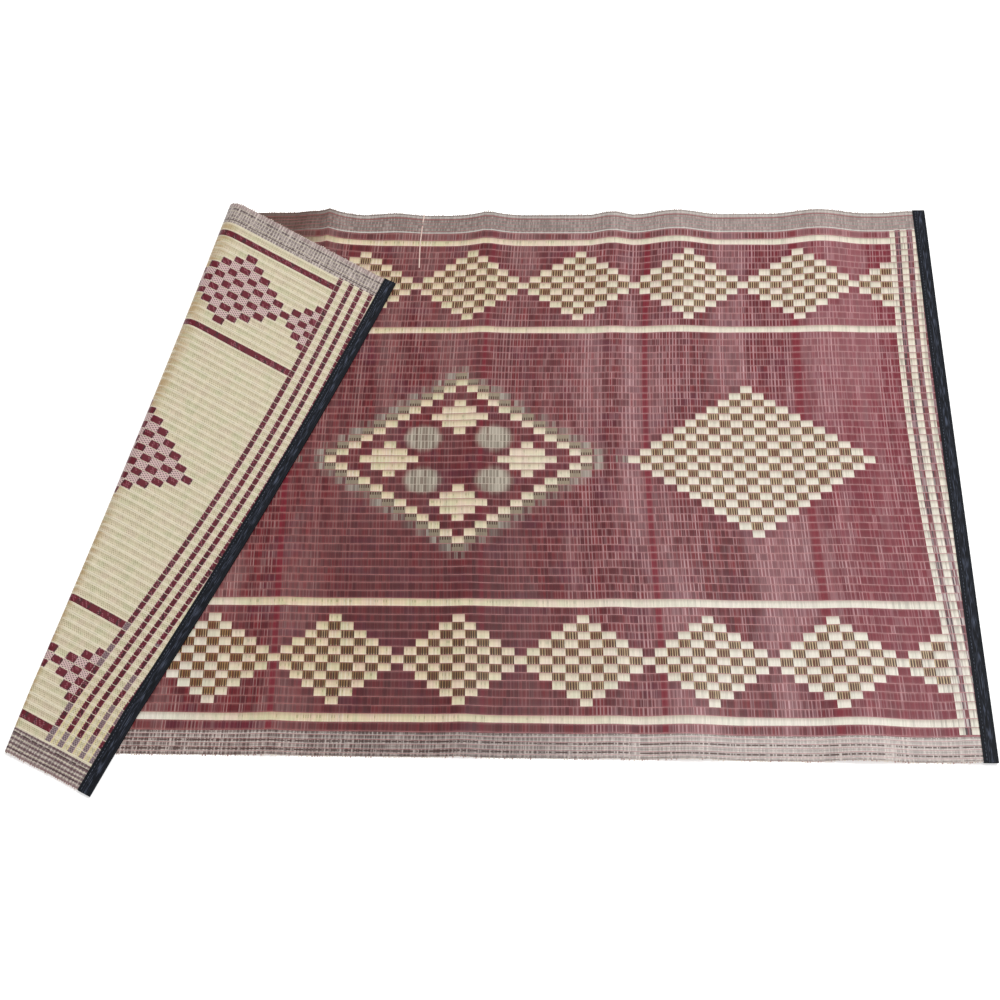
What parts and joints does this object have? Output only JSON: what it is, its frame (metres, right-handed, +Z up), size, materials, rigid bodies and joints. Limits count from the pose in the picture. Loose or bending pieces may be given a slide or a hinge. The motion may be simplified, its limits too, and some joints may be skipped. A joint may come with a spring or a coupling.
{
  "type": "woven plastic floor mat",
  "caption": "Thin rectangular woven straw floor mat lying open, its left end folded over on a slant in a loose loop, with dark tape bound round both short ends.",
  "frame": {"origin": "middle of the bounding box, on the floor under the mat", "axes": "+X along the mat's length from the folded end to the flat end, +Y across its width towards the back selvedge, +Z up"},
  "size_m": [1.6524, 1.3022, 0.0609],
  "materials": {
    "woven_straw": "flat drinking-straw strips of polypropylene woven as double cloth, maroon face with cream motifs and cream reverse with maroon motifs, soft sheen",
    "binding_tape": "blue-black woven tape, matt, lockstitched through the mat along its inner edge"
  },
  "bodies": {
    "root": {"mat_sheet": "woven_straw", "binding_right": "binding_tape", "binding_folded": "binding_tape"}
  },
  "joints": []
}
